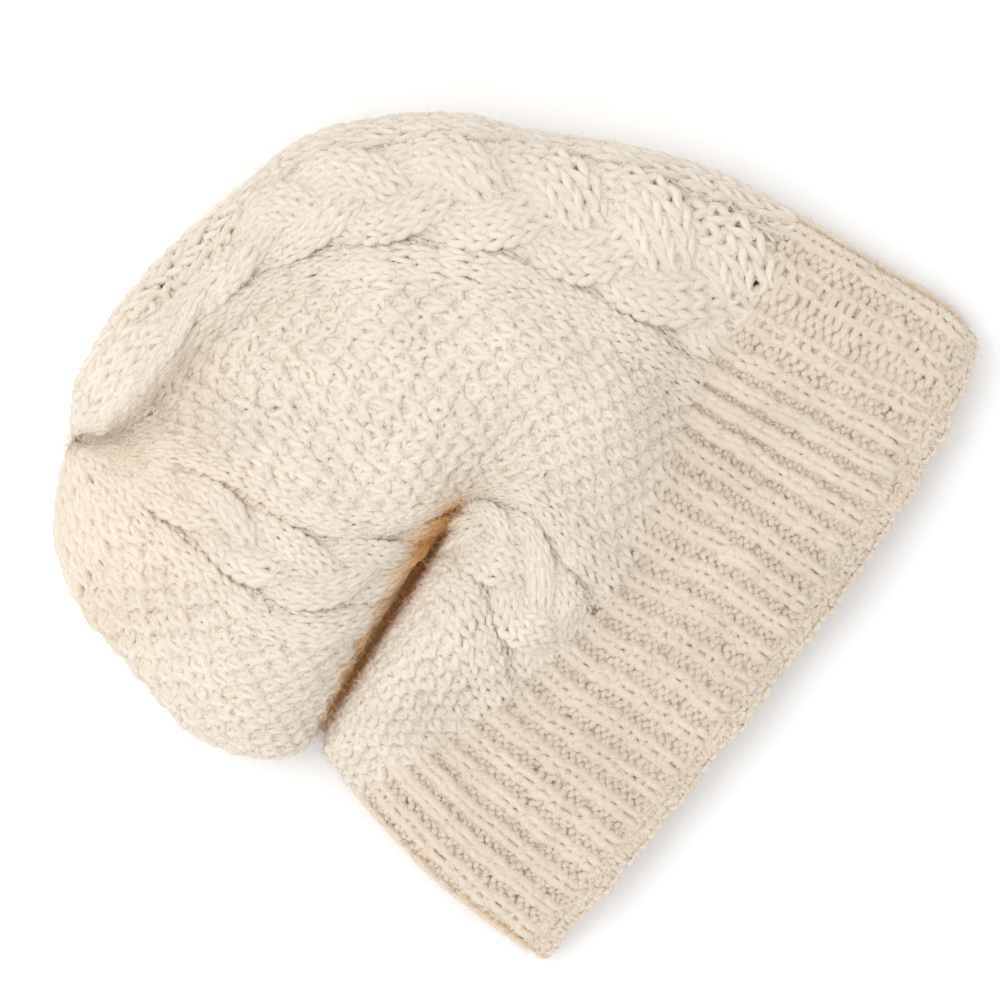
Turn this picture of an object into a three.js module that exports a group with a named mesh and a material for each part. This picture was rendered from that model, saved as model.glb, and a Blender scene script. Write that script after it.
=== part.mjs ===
// A slouchy cable knit beanie that lies flat on a surface.
// Millimetres, +Z up. The hem faces +X, and the origin is the middle of the footprint.
import * as THREE from "three";
import { mergeVertices } from "three/addons/utils/BufferGeometryUtils.js";

// Yarn and fabric
const WALL = 3.5;
const SIDE_WALL = 7;
const RIDGE_WALL = 4;
const RIB_RELIEF = 0.6;
const BORDER_RELIEF = 0.8;
const GUTTER_DEPTH = 0.9;
const PLAIT_RISE = 1.6;
const STRAND_RISE = { under: 0.4, over: 1.9 };
const EDGE_RISE = 0.7;
const CREAM = 0xefe4cf;
const CREAM_SHADE = 0xeadfca;

// Knitting plan: stitches round the cap, courses from the hem to the crown
const STITCHES = 124;
const REPEAT = 31;
const FIRST_PLAIT = 8;
const PLAIT_HALF = 3.5;
const GUTTER_HALF = 4.4;
const BORDER_HALF = 7.6;
const PLAIT_COURSES = 24;
const STRANDS = 3;
const STRAND_SWING = 2.1;
const STRAND_HALF = 1.7;
const RIBS = 48;
const CAST_ON_END = 1.7;
const BRIM_END = 22;
const BODY_END = 77;
const CROWN = 88;
const COURSE_GAP = 0.13;
const RELIEF_SLOPE = { none: -0.2, full: 0.35 };
const FOLD = { from: 29, to: 66, course: 46.5, flat: 3, free: 9 };

// Sections of the lying cap, one for each fold. Each guide is [x, y, z] of the cloth's outside at one wale.
const SECTIONS = [
  {
    row: 0,
    long_side: [109.5, 116.5, 6], ridge: [110.5, 108.5, 12],
    plait1: [113, 89.5, 14], moss: [119, 36.5, 15],
    edge: [119.5, -2, 15], plait2: [117, -36.5, 15],
    fold_side: [110, -120, 6], under: [115.5, -3, 0],
  },
  {
    row: 11,
    long_side: [77.5, 123, 8], ridge: [77.5, 112.5, 16],
    plait1: [77.5, 88.5, 19], moss: [84.5, 36.5, 20],
    edge: [87.5, -3, 20], plait2: [87, -36.5, 20],
    fold_side: [71, -117, 8], under: [81.5, -1.5, 0],
  },
  {
    row: 22,
    long_side: [41, 119.5, 11], ridge: [41, 109.5, 21],
    plait1: [41, 86, 25], moss: [49.5, 36, 26],
    edge: [59, -6, 28], plait2: [57.5, -36.5, 27],
    fold_side: [31.5, -111.5, 11], under: [49, 0, 0],
  },
  {
    row: 28,
    long_side: [15, 115.5, 13], ridge: [15.5, 106, 27.5],
    plait1: [16.5, 83.5, 33], moss: [36.5, 35, 40],
    edge: [42.5, -2, 41], plait2: [43.5, -29.5, 38],
    fold_side: [22, -110, 11], under: [31.5, -1, 0],
  },
  {
    row: 36,
    long_side: [-18, 106, 15], ridge: [-16, 96.5, 32.5],
    plait1: [-12, 74.5, 39], moss: [14, 33, 47],
    edge: [20, 0, 43], plait2: [23.5, -19.5, 43],
    fold_side: [15, -108, 10], under: [12.5, -3, 0],
  },
  {
    row: 42,
    long_side: [-43.5, 93.5, 17], ridge: [-40.5, 85.5, 35],
    plait1: [-33, 67, 42], moss: [-4, 27.5, 49],
    edge: [8, -8, 36], plait2: [10, -21.5, 33],
    fold_side: [13.5, -107, 9], under: [-1.5, -7, 0],
  },
  {
    row: 47,
    long_side: [-63.5, 83.5, 18], ridge: [-59.5, 76, 36],
    plait1: [-50.5, 58.5, 43], moss: [-20.5, 20.5, 49],
    edge: [1.5, -15, 37], plait2: [4.5, -28.5, 16],
    fold_side: [10.5, -106, 9], under: [-13.5, -11, 0],
  },
  {
    row: 52,
    long_side: [-81.5, 71, 18], ridge: [-75, 62.5, 37],
    plait1: [-66.5, 47.5, 43], moss: [-35.5, 11, 48],
    edge: [-5.5, -24.5, 43], plait2: [1, -41, 32],
    fold_side: [10.5, -112, 10], under: [-25.5, -16, 0],
  },
  {
    row: 58,
    long_side: [-99, 51, 18], ridge: [-93, 45, 36],
    plait1: [-81.5, 33, 43], moss: [-53.5, -1, 44],
    edge: [-17.5, -35, 47], plait2: [-10.5, -55.5, 45],
    fold_side: [0, -121.5, 14], under: [-38, -23, 0],
  },
  {
    row: 65,
    long_side: [-108.5, 27.5, 17], ridge: [-100, 23.5, 34],
    plait1: [-92.5, 12.5, 42], moss: [-71, -16.5, 36],
    edge: [-38, -43.5, 46], plait2: [-30, -65, 46],
    fold_side: [-23.5, -126, 16], under: [-55.5, -33, 0],
  },
  {
    row: 72,
    long_side: [-117, -2.5, 17], ridge: [-101.5, -5, 32],
    plait1: [-97, -11, 40], moss: [-83, -35, 29],
    edge: [-60, -47, 42], plait2: [-53, -65, 43],
    fold_side: [-52, -121, 17], under: [-72.5, -46, 0],
  },
  {
    row: 79,
    long_side: [-120, -34, 18], ridge: [-111, -34, 31],
    plait1: [-100, -36.5, 37], moss: [-90.5, -52, 25],
    edge: [-79, -55.5, 33], plait2: [-76.5, -66.5, 36],
    fold_side: [-79, -111, 18], under: [-89.5, -58.5, 0],
  },
  {
    row: 84,
    long_side: [-115, -57, 20], ridge: [-111, -57, 28.5],
    plait1: [-102, -57, 32], moss: [-96.5, -64, 25],
    edge: [-92.5, -65.5, 29], plait2: [-91.5, -69, 31],
    fold_side: [-95.5, -95, 19], under: [-99, -66.5, 9],
  },
  {
    row: 88,
    long_side: [-103, -71, 27], ridge: [-103, -71, 27],
    plait1: [-102.5, -71, 27], moss: [-102.5, -71.5, 27],
    edge: [-102.5, -71.5, 27], plait2: [-102.5, -72.5, 27],
    fold_side: [-102.5, -73, 27], under: [-103.5, -72, 26],
  },
];

// Wale of each guide, counted in stitches from the long side over the top
const GUIDE_STITCH = {
  long_side: 0,
  ridge: 3.5,
  plait1: 8,
  moss: 21,
  edge: 31,
  plait2: 39,
  fold_shoulder: 57.5,
  fold_side: 62,
  fold_floor: 66,
  under: 93,
  long_floor: 120,
};
const SHOULDER = { inwards: 0.16, upwards: 0.58 };
const FLOOR_IN = 0.12;

// Mesh density: stitches per column over the top and underneath, courses per ring
const TOP_STITCHES = 62;
const TOP_COLUMNS = 62;
const BRIM_TOP_COLUMNS = 48;
const FLOOR_COLUMNS = 16;
const LINING_COLUMNS = 36;
const START_COURSES = 3;
const CROWN_FADE_COURSES = 26;
const TIP_COURSES = 0.6;
const LINING_TIP_COURSES = 5;
const CROWN_RINGS = { outside: 8, lining: 4 };
const NEAR = 0.25;
const WELD = 1e-4;

function mix(a, b, t) {
  return a.map((value, i) => value + t * (b[i] - value));
}

// The eleven guides of one section, in the order of GUIDE_STITCH
function guideLoop(section) {
  const { long_side, fold_side, plait2, under } = section;
  const shoulder = mix(fold_side, plait2, SHOULDER.inwards);
  shoulder[2] = fold_side[2] + SHOULDER.upwards * (plait2[2] - fold_side[2]);
  const floor = (side) => {
    const point = mix(side, under, FLOOR_IN);
    point[2] = under[2];
    return point;
  };
  const shaped = {
    ...section,
    fold_shoulder: shoulder,
    fold_floor: floor(fold_side),
    long_floor: floor(long_side),
  };
  return Object.keys(GUIDE_STITCH).map((name) => shaped[name]);
}

// The same section for the inside of the wall, which is thicker at the side folds
function linedSection(section, index) {
  const before = SECTIONS[Math.max(index - 1, 0)];
  const after = SECTIONS[Math.min(index + 1, SECTIONS.length - 1)];
  const inwards = (name) => {
    const wale = new THREE.Vector3(...after[name]).sub(new THREE.Vector3(...before[name])).normalize();
    const normal = new THREE.Vector3(0, 0, 1).addScaledVector(wale, -wale.z).normalize();
    return new THREE.Vector3(...section[name]).addScaledVector(normal, -WALL).toArray();
  };
  const pulledIn = (name, width, drop) => {
    const side = inwards(name);
    const reach = Math.hypot(section.under[0] - side[0], section.under[1] - side[1]);
    const point = mix(side, section.under, width / Math.max(reach, 2 * width));
    point[2] = section[name][2] - drop;
    return point;
  };
  return {
    long_side: pulledIn("long_side", SIDE_WALL, 0),
    ridge: pulledIn("ridge", RIDGE_WALL, WALL),
    plait1: inwards("plait1"),
    moss: inwards("moss"),
    edge: inwards("edge"),
    plait2: inwards("plait2"),
    fold_side: pulledIn("fold_side", SIDE_WALL, 0),
    under: [section.under[0], section.under[1], section.under[2] + WALL],
  };
}

// A smooth curve through knots: Hermite pieces with the tangents of a parabola through three knots
function curveThrough(knots, points, t) {
  const last = knots.length - 1;
  let i = 1;
  while (i < last - 2 && t > knots[i + 1]) {
    i += 1;
  }
  const slope = (a, b) => points[b].map((v, k) => (v - points[a][k]) / (knots[b] - knots[a]));
  const tangent = (at) => {
    const before = knots[at] - knots[at - 1];
    const after = knots[at + 1] - knots[at];
    return mix(slope(at - 1, at), slope(at, at + 1), before / (before + after));
  };
  const span = knots[i + 1] - knots[i];
  const x = (t - knots[i]) / span;
  const start = tangent(i);
  const end = tangent(i + 1);
  return points[i].map((value, k) => {
    const stay = (2 * x ** 3 - 3 * x ** 2 + 1) * value;
    const move = (3 * x ** 2 - 2 * x ** 3) * points[i + 1][k];
    const lead = (x ** 3 - 2 * x ** 2 + x) * span * start[k];
    const trail = (x ** 3 - x ** 2) * span * end[k];
    return stay + move + lead + trail;
  });
}

const rowKnots = SECTIONS.map((section) => section.row);
const OUTSIDE = { loops: SECTIONS.map(guideLoop), lowest: 0 };
const LINING = { loops: SECTIONS.map(linedSection).map(guideLoop), lowest: WALL };
const stitchKnots = Object.values(GUIDE_STITCH);

// One point past each end, in line with the last two
function extended(list) {
  const beyond = (a, b) => (Array.isArray(a) ? mix(b, a, 2) : 2 * a - b);
  return [beyond(list[0], list[1]), ...list, beyond(list.at(-1), list.at(-2))];
}

const rowKnotsAll = extended(rowKnots);

// One face of the cloth at a course, for any stitch: guides joined along the wales, then round the loop
function courseLoop(face, course) {
  const guides = stitchKnots.map((_, g) => {
    const along = extended(face.loops.map((loop) => loop[g]));
    return curveThrough(rowKnotsAll, along, course);
  });
  const knots = [stitchKnots.at(-1) - STITCHES, ...stitchKnots, STITCHES, STITCHES + stitchKnots[1]];
  const points = [guides.at(-1), ...guides, guides[0], guides[1]];
  return (stitch) => {
    const point = curveThrough(knots, points, ((stitch % STITCHES) + STITCHES) % STITCHES);
    point[2] = Math.max(point[2], face.lowest);
    return new THREE.Vector3(...point);
  };
}

// How far the knitting stands out of the cloth at a stitch and a course
function plaitRelief(across, course) {
  const strand = (k) => {
    const turn = (2 * Math.PI * course) / PLAIT_COURSES + (2 * Math.PI * k) / STRANDS;
    const centre = STRAND_SWING * Math.sin(turn);
    const round = Math.max(0, 1 - ((across - centre) / STRAND_HALF) ** 2);
    const over = (1 + Math.sin(2 * turn)) / 2;
    return Math.sqrt(round) * (STRAND_RISE.under + over * (STRAND_RISE.over - STRAND_RISE.under));
  };
  return PLAIT_RISE + Math.max(strand(0), strand(1), strand(2));
}

function bodyRelief(stitch, course) {
  const fromPlait = ((stitch - FIRST_PLAIT + REPEAT / 2 + STITCHES) % REPEAT) - REPEAT / 2;
  const across = Math.abs(fromPlait);
  if (across <= PLAIT_HALF) {
    return plaitRelief(fromPlait, course);
  }
  if (across <= GUTTER_HALF) {
    return -GUTTER_DEPTH;
  }
  return across <= BORDER_HALF ? BORDER_RELIEF : 0;
}

function ribRelief(stitch) {
  return RIB_RELIEF * Math.cos((2 * Math.PI * RIBS * stitch) / STITCHES);
}

function edgeRelief() {
  return EDGE_RISE;
}

// The two walls of the deep fold press on each other, so the relief is flat there
function foldPress(stitch, course) {
  const inFold = stitch > FOLD.from && stitch < FOLD.to;
  return inFold ? THREE.MathUtils.smoothstep(Math.abs(course - FOLD.course), FOLD.flat, FOLD.free) : 1;
}

// Points and normals of the outside
function outsideFrame(course, stitches) {
  const here = courseLoop(OUTSIDE, course);
  const back = courseLoop(OUTSIDE, course - NEAR);
  const ahead = courseLoop(OUTSIDE, Math.min(course + NEAR, CROWN));
  return stitches.map((stitch) => {
    const point = here(stitch);
    const along = ahead(stitch).sub(back(stitch));
    const round = here(stitch + NEAR).sub(here(stitch - NEAR));
    const normal = along.cross(round).normalize();
    return { point, normal, stitch };
  });
}

// The relief starts from nothing where the ribbing meets the body
function startFade(course) {
  return THREE.MathUtils.smoothstep(Math.abs(course - BRIM_END), 0, START_COURSES);
}

// Relief fades out underneath, where the weight presses the cloth flat, and near the crown
function outsideRing(course, stitches, relief) {
  const courseFade = startFade(course) * Math.min(1, (CROWN - course) / CROWN_FADE_COURSES);
  const points = outsideFrame(course, stitches).map(({ point, normal, stitch }) => {
    const upwards = THREE.MathUtils.smoothstep(normal.z, RELIEF_SLOPE.none, RELIEF_SLOPE.full);
    const rise = relief(stitch, course) * upwards * courseFade * foldPress(stitch, course);
    const moved = point.addScaledVector(normal, rise);
    moved.z = Math.max(moved.z, 0);
    return moved;
  });
  return { points, stitches };
}

function liningRing(course, stitches) {
  return { points: stitches.map(courseLoop(LINING, course)), stitches };
}

// Stitch positions round a ring: even over the top, and underneath close at the sides and wide in the middle
function ringStitches(topColumns, floorColumns) {
  const top = Array.from({ length: topColumns }, (_, i) => (i * TOP_STITCHES) / topColumns);
  const floorSpan = STITCHES - TOP_STITCHES;
  const floor = Array.from({ length: floorColumns }, (_, i) => {
    const share = (1 - Math.cos((Math.PI * i) / floorColumns)) / 2;
    return TOP_STITCHES + floorSpan * share;
  });
  return [...top, ...floor];
}

function courses(start, end, count) {
  return Array.from({ length: count }, (_, i) => start + ((end - start) * i) / (count - 1));
}

// Triangles between two rings of any counts: the side whose next stitch comes first moves on
function bridge(a, b) {
  const nextStitch = (ring, i) => (i >= ring.points.length ? Infinity : ring.stitches[i + 1] ?? STITCHES);
  const at = (ring, i) => ring.points[i % ring.points.length];
  const triangles = [];
  let i = 0;
  let j = 0;
  while (i < a.points.length || j < b.points.length) {
    if (nextStitch(a, i) <= nextStitch(b, j)) {
      triangles.push([at(a, i), at(b, j), at(a, i + 1)]);
      i += 1;
    } else {
      triangles.push([at(a, i), at(b, j), at(b, j + 1)]);
      j += 1;
    }
  }
  return triangles;
}

function skin(rings) {
  return rings.slice(1).flatMap((ring, i) => bridge(rings[i], ring));
}

function flipped(triangles) {
  return triangles.map(([a, b, c]) => [a, c, b]);
}

function fan({ points }, tip) {
  return points.map((point, i) => [point, tip, points[(i + 1) % points.length]]);
}

function centreOf({ points }) {
  const sum = points.reduce((total, point) => total.add(point), new THREE.Vector3());
  return sum.divideScalar(points.length);
}

function solid(name, triangles, colour) {
  let geometry = new THREE.BufferGeometry().setFromPoints(triangles.flat());
  geometry = mergeVertices(geometry, WELD);
  geometry.computeVertexNormals();
  const material = new THREE.MeshStandardMaterial({ color: colour, roughness: 0.95, metalness: 0 });
  const mesh = new THREE.Mesh(geometry, material);
  mesh.name = name;
  return mesh;
}

// A wall between two courses, open at both ends
function tube(name, plan, colour) {
  const stitches = ringStitches(plan.columns, FLOOR_COLUMNS);
  const liningStitches = ringStitches(LINING_COLUMNS, FLOOR_COLUMNS);
  const outside = courses(plan.start, plan.end, plan.rings).map((c) => outsideRing(c, stitches, plan.relief));
  const lining = courses(plan.start, plan.end, plan.liningRings).map((c) => liningRing(c, liningStitches));
  const triangles = [
    ...skin(outside),
    ...flipped(skin(lining)),
    ...flipped(bridge(outside[0], lining[0])),
    ...bridge(outside.at(-1), lining.at(-1)),
  ];
  return solid(name, triangles, colour);
}

// The crown's wall closes over at the gathering point
function crown() {
  const stitches = ringStitches(TOP_COLUMNS, FLOOR_COLUMNS);
  const liningStitches = ringStitches(LINING_COLUMNS, FLOOR_COLUMNS);
  const start = BODY_END + COURSE_GAP;
  const outsideCourses = courses(start, CROWN - TIP_COURSES, CROWN_RINGS.outside);
  const liningCourses = courses(start, CROWN - LINING_TIP_COURSES, CROWN_RINGS.lining);
  const outside = outsideCourses.map((c) => outsideRing(c, stitches, bodyRelief));
  const lining = liningCourses.map((c) => liningRing(c, liningStitches));
  const triangles = [
    ...skin(outside),
    ...flipped(skin(lining)),
    ...flipped(bridge(outside[0], lining[0])),
    ...fan(outside.at(-1), courseLoop(OUTSIDE, CROWN)(0)),
    ...flipped(fan(lining.at(-1), centreOf(lining.at(-1)))),
  ];
  return solid("crown", triangles, CREAM);
}

function castOnEdge() {
  return tube("cast_on_edge", {
    start: 0,
    end: CAST_ON_END,
    columns: 2 * BRIM_TOP_COLUMNS,
    rings: 3,
    liningRings: 2,
    relief: edgeRelief,
  }, CREAM_SHADE);
}

function ribbedBrim() {
  return tube("ribbed_brim", {
    start: CAST_ON_END + COURSE_GAP,
    end: BRIM_END,
    columns: 2 * BRIM_TOP_COLUMNS,
    rings: 7,
    liningRings: 5,
    relief: ribRelief,
  }, CREAM_SHADE);
}

function cableBody() {
  return tube("cable_body", {
    start: BRIM_END + COURSE_GAP,
    end: BODY_END,
    columns: TOP_COLUMNS,
    rings: 25,
    liningRings: 25,
    relief: bodyRelief,
  }, CREAM);
}

// All pieces, moved so that the footprint's middle is the origin and the underside lies at z = 0
function beanie() {
  const group = new THREE.Group();
  group.add(castOnEdge(), ribbedBrim(), cableBody(), crown());
  const box = new THREE.Box3().setFromObject(group);
  const middle = box.getCenter(new THREE.Vector3());
  group.children.forEach((mesh) => mesh.geometry.translate(-middle.x, -middle.y, -box.min.z));
  return group;
}

export default beanie();
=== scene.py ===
# %% [markdown]
# # A slouchy cable knit beanie, lying on its side
# The cap is hand knitted in one cream wool yarn: a ribbed brim, then a body with four plaits between panels
# of moss stitch, gathered to a point at the crown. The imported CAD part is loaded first. It holds the size,
# and every piece made here stands for one of its solids.

# %% Start
import math

import bpy
import numpy as np
from mathutils import Matrix, Vector


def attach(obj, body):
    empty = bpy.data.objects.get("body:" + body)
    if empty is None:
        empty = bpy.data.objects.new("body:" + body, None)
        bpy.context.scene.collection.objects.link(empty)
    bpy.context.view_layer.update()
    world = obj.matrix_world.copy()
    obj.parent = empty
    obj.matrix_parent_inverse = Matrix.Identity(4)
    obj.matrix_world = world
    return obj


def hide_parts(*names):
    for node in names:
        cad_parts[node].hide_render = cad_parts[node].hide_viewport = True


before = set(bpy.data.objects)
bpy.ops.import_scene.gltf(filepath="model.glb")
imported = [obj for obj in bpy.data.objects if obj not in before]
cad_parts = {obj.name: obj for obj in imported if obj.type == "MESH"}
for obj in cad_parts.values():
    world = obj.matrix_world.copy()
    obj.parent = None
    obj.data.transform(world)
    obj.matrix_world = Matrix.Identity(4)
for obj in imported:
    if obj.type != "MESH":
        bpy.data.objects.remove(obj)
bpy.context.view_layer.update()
bpy.ops.object.select_all(action="DESELECT")
MM = 0.001

# %% [markdown]
# ## The lying cloth
# Every stitch of a knitted tube has an address: its wale, counted in stitches round the cap, and its
# course, counted in rows from the hem. Each row of the table says where one course lies after the cap was
# put down, and each column follows one wale. Simulated cloth wouldn't fall into these folds, and a sculpted
# surface has no addresses. Smooth curves through the table give the place of any stitch, so all the yarn
# follows the same folds. Table and curves are those of the CAD part, but for a few millimetres: the corner
# of the hem is rounder, the deep fold is less deep, and the plait of the long side lies up to 6 mm further
# in.

# %% The sections of the lying cap, in mm
SECTIONS = [
    # course, then (x, y, z) of: long_side, ridge, plait1, moss, edge, plait2, fold_side, under
    (0, (110, 119.8, 6), (114.5, 111, 12), (117.5, 90.5, 14), (120.5, 36.5, 15),
     (120.2, -2, 15), (117.8, -36.5, 15), (109, -123, 6), (116, -3, 0)),
    (4, (99.5, 122.3, 7), (100.5, 113.5, 13.5), (101.5, 89.5, 16), (106.5, 36.5, 17),
     (107.5, -2.5, 17), (106, -36.5, 17), (94.5, -122.8, 6.5), (103, -2.5, 0)),
    (11, (77.5, 121, 8), (77.5, 112.5, 16), (78, 86, 19), (84.5, 36.5, 20),
     (87.5, -3, 20), (87, -36.5, 20), (70, -121.2, 8), (81.5, -1.5, 0)),
    (22, (41, 118.3, 11), (41, 108.5, 21), (42, 80.5, 25), (49.5, 36, 26),
     (59, -6, 28), (57.5, -36.5, 27), (31.5, -113, 11), (49, 0, 0)),
    (28, (15, 114.5, 13), (15.5, 105, 27.5), (17.5, 78.5, 33), (36.5, 35, 40),
     (42.5, -2, 41), (43.5, -29.5, 38), (22, -110, 11), (31.5, -1, 0)),
    (36, (-18.3, 102.2, 15), (-16, 96.5, 32.5), (-11.5, 72.5, 39), (14, 33, 47),
     (20, 0, 43), (23.5, -19.5, 43), (15, -108, 10), (12.5, -3, 0)),
    (42, (-43.5, 89.4, 17), (-40.5, 85.5, 35), (-33, 67, 42), (-4, 27.5, 49),
     (8, -8, 36), (10, -21.5, 33), (13, -105, 9), (-1.5, -7, 0)),
    (47, (-62.8, 82.6, 18), (-59.5, 76, 36), (-50.5, 58.5, 43), (-20.5, 20.5, 49),
     (1.5, -15, 37), (4.5, -28.5, 21), (10, -103, 9), (-13.5, -11, 0)),
    (52, (-80.9, 70.3, 18), (-75, 62.5, 37), (-66.5, 47.5, 43), (-35.5, 11, 48),
     (-5.5, -24.5, 43), (1, -41, 32), (9, -110.5, 10), (-25.5, -16, 0)),
    (58, (-99, 51, 18), (-93, 45, 36), (-81.5, 33, 43), (-53.5, -1, 44),
     (-17.5, -35, 47), (-10.5, -55.5, 45), (0, -119.9, 14), (-38, -23, 0)),
    (65, (-107.5, 27, 17), (-100, 23.5, 34), (-92.5, 12.5, 42), (-71, -16.5, 36),
     (-38, -43.5, 46), (-30, -65, 46), (-23.5, -126, 16), (-55.5, -33, 0)),
    (72, (-114.8, -2.5, 17), (-101.5, -5, 32), (-97, -11, 40), (-83, -35, 29),
     (-60, -47, 42), (-53, -65, 43), (-52, -119.6, 17), (-72.5, -46, 0)),
    (79, (-117.9, -34, 18), (-111, -34, 31), (-100, -36.5, 37), (-90.5, -52, 25),
     (-79, -55.5, 33), (-76.5, -66.5, 36), (-79.2, -111.6, 18), (-89.5, -58.5, 0)),
    (84, (-115, -57, 20), (-111, -57, 28.5), (-102, -57, 32), (-96.5, -64, 25),
     (-92.5, -65.5, 29), (-91.5, -69, 31), (-96.8, -95.8, 19), (-101, -68, 9)),
    (88, (-106.5, -71, 27), (-106.5, -71, 27), (-106, -71, 27), (-106, -71.5, 27),
     (-106, -71.5, 27), (-106, -72.5, 27), (-106.5, -73, 27), (-107.5, -72, 26)),
]
section_courses = np.array([row[0] for row in SECTIONS], float)
section_points = np.array([row[1:] for row in SECTIONS], float)
print("sections:", len(SECTIONS), "wales in each:", section_points.shape[1])

# %% What the courses and wales stand for
STITCHES = 124
BRIM_END = 22
CROWN = 88
LONG_SIDE, RIDGE, FOLD_SIDE, UNDER = 0, 1, 6, 7
# puts the middle of the CAD part's box at the origin, in mm
CENTRING = np.array([0.330, 1.390, 0.0])
print("stitches round:", STITCHES, "courses:", CROWN)


# %% Small helpers for directions and shares
def unit(vectors):
    """The same directions with a length of 1."""
    return vectors / np.maximum(np.linalg.norm(vectors, axis=-1, keepdims=True), 1e-9)


def ramp(value, zero_at, one_at):
    """A share that goes from 0 to 1 between two values, and stays level on either side."""
    return np.clip((value - zero_at) / (one_at - zero_at), 0, 1)


def bump(value, middle, reach):
    """A share that is 1 in the middle and 0 from a reach away on."""
    return np.clip(1 - np.abs(value - middle) / reach, 0, 1)


print("half way up a ramp:", ramp(1.5, 1, 2))


# %% A smooth curve through knots
def hermite(knots, points, at):
    """Points of a curve whose tangents are those of a parabola through three knots."""
    last = len(knots) - 1
    i = np.clip(np.searchsorted(knots, at, side="left") - 1, 1, last - 2)
    shape = (-1, *[1] * (points.ndim - 1))
    gaps = np.diff(knots)
    slopes = np.diff(points, axis=0) / gaps.reshape(shape)
    share = (gaps[:-1] / (gaps[:-1] + gaps[1:])).reshape(shape)
    tangents = slopes[:-1] + share * (slopes[1:] - slopes[:-1])
    span = gaps[i].reshape(shape)
    x = ((at - knots[i]) / gaps[i]).reshape(shape)
    stay = (2 * x**3 - 3 * x**2 + 1) * points[i]
    move = (3 * x**2 - 2 * x**3) * points[i + 1]
    lead = (x**3 - 2 * x**2 + x) * span * tangents[i - 1]
    trail = (x**3 - x**2) * span * tangents[i]
    return stay + move + lead + trail


print("a curve through 0, 1, 4, 9:", hermite(np.arange(4.0), np.arange(4.0) ** 2, np.array([1.5])))

# %% Eleven guides round each section
GUIDE_STITCHES = [0, 3.5, 8, 21, 31, 39, 57.5, 62, 66, 93, 120]
SHOULDER_SHARE = 0.16
SHOULDER_RISE = 0.58
FLOOR_SHARE = 0.12


def guide_loops(table):
    """The table's eight wales, a shoulder above the fold's side and two guides on the floor."""
    long_side, ridge, plait1, moss, edge, plait2, fold_side, under = [table[:, i] for i in range(8)]
    shoulder = fold_side + SHOULDER_SHARE * (plait2 - fold_side)
    shoulder[:, 2] = fold_side[:, 2] + SHOULDER_RISE * (plait2[:, 2] - fold_side[:, 2])

    def floor_guide(side):
        point = side + FLOOR_SHARE * (under - side)
        point[:, 2] = under[:, 2]
        return point

    at_fold = [shoulder, fold_side, floor_guide(fold_side)]
    guides = [long_side, ridge, plait1, moss, edge, plait2, *at_fold, under, floor_guide(long_side)]
    return np.stack(guides, axis=1)


print("guides:", guide_loops(section_points).shape[1], "at stitches", GUIDE_STITCHES)

# %% The inside of the wall
WALL = 3.5
# wale, thickness of the wall there and how far its inside lies lower, in mm
SIDES = ((LONG_SIDE, 7.0, 0), (RIDGE, 4.0, WALL), (FOLD_SIDE, 7.0, 0))


def lined(table):
    """The same table for the inside of the wall, which is thicker at the side folds."""
    before = table[np.maximum(np.arange(len(table)) - 1, 0)]
    after = table[np.minimum(np.arange(len(table)) + 1, len(table) - 1)]
    wale = unit(after - before)
    normal = unit(np.array([0.0, 0.0, 1.0]) - wale * wale[:, :, 2:])
    inner = table - WALL * normal
    for side, width, drop in SIDES:
        reach = np.hypot(*(table[:, UNDER] - inner[:, side])[:, :2].T)
        share = (width / np.maximum(reach, 2 * width))[:, None]
        inner[:, side] += share * (table[:, UNDER] - inner[:, side])
        inner[:, side, 2] = table[:, side, 2] - drop
    inner[:, UNDER] = table[:, UNDER] + [0, 0, WALL]
    return inner


thickness = np.linalg.norm(section_points - lined(section_points), axis=2)
print("wall in mm:", thickness.min().round(1), "to", thickness.max().round(1))

# %% The place of every quarter stitch
GRID_STEP = 0.25
FIRST_COURSE = -2.0
grid_courses = np.arange(FIRST_COURSE, CROWN + GRID_STEP / 2, GRID_STEP)
grid_stitches = np.arange(0, STITCHES, GRID_STEP)


def cloth_grid(table, lowest):
    """Places in mm, by quarter course and quarter stitch."""
    loops = guide_loops(table)
    knots = np.concatenate([[2 * section_courses[0] - section_courses[1]], section_courses,
                            [2 * section_courses[-1] - section_courses[-2]]])
    ends = (2 * loops[:1] - loops[1:2], loops, 2 * loops[-1:] - loops[-2:-1])
    along = hermite(knots, np.concatenate(ends), grid_courses)
    stitches = np.array(GUIDE_STITCHES, float)
    after = [STITCHES, STITCHES + stitches[1]]
    round_knots = np.concatenate([[stitches[-1] - STITCHES], stitches, after])
    closed = np.concatenate([along[:, -1:], along, along[:, :2]], axis=1)
    points = hermite(round_knots, closed.transpose(1, 0, 2), grid_stitches).transpose(1, 0, 2)
    points[:, :, 2] = np.maximum(points[:, :, 2], lowest)
    return points + CENTRING


outside_grid = cloth_grid(section_points, 0)
lining_grid = cloth_grid(lined(section_points), WALL)
print("places outside and inside:", outside_grid.shape, lining_grid.shape)

# %% Directions and sizes of the stitches
wale_steps = np.gradient(outside_grid, GRID_STEP, axis=0)
ring_steps = (np.roll(outside_grid, -1, axis=1) - np.roll(outside_grid, 1, axis=1)) / (2 * GRID_STEP)
normal_grid = unit(np.cross(wale_steps, ring_steps))
tall_grid = np.linalg.norm(wale_steps, axis=2)
width_grid = np.linalg.norm(ring_steps, axis=2)
print("stitch width mm:", round(float(np.median(width_grid)), 2),
      "course height mm:", round(float(np.median(tall_grid)), 2))


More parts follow.
